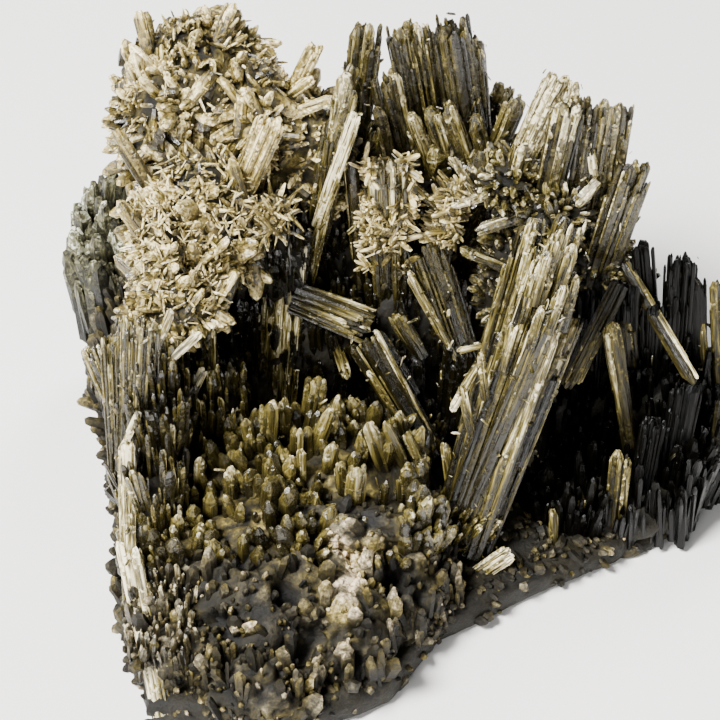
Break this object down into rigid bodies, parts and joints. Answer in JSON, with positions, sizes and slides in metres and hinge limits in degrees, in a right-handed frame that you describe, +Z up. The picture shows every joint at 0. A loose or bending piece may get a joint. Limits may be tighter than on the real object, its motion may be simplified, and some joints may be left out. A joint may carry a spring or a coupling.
{
  "type": "epidote crystal cluster",
  "caption": "Hand-sized epidote specimen: sprays of striated olive-brown prisms, needle mats and stubby crystals on a lump of host rock that stands on its flat underside.",
  "frame": {"origin": "on the table, under the middle of the specimen's box", "axes": "+Z up from the flat underside, +X to the viewer's right, +Y away from the viewer"},
  "size_m": [0.1038, 0.0864, 0.0688],
  "materials": {
    "host_rock": "rough, knobbly",
    "epidote_silvery": "glassy, striated",
    "epidote_olive": "glassy, striated",
    "epidote_brown": "glassy, striated",
    "epidote_dark": "glassy, striated",
    "epidote_crust": "matted fine needles"
  },
  "bodies": {
    "root": {"matrix": "host_rock", "main_spray": "epidote_silvery", "front_druse": "epidote_olive", "left_wall": "epidote_silvery", "centre_spray": "epidote_brown", "right_wall": "epidote_dark", "right_spray": "epidote_olive", "back_spray": "epidote_brown", "upper_mound": "epidote_crust"}
  },
  "joints": []
}
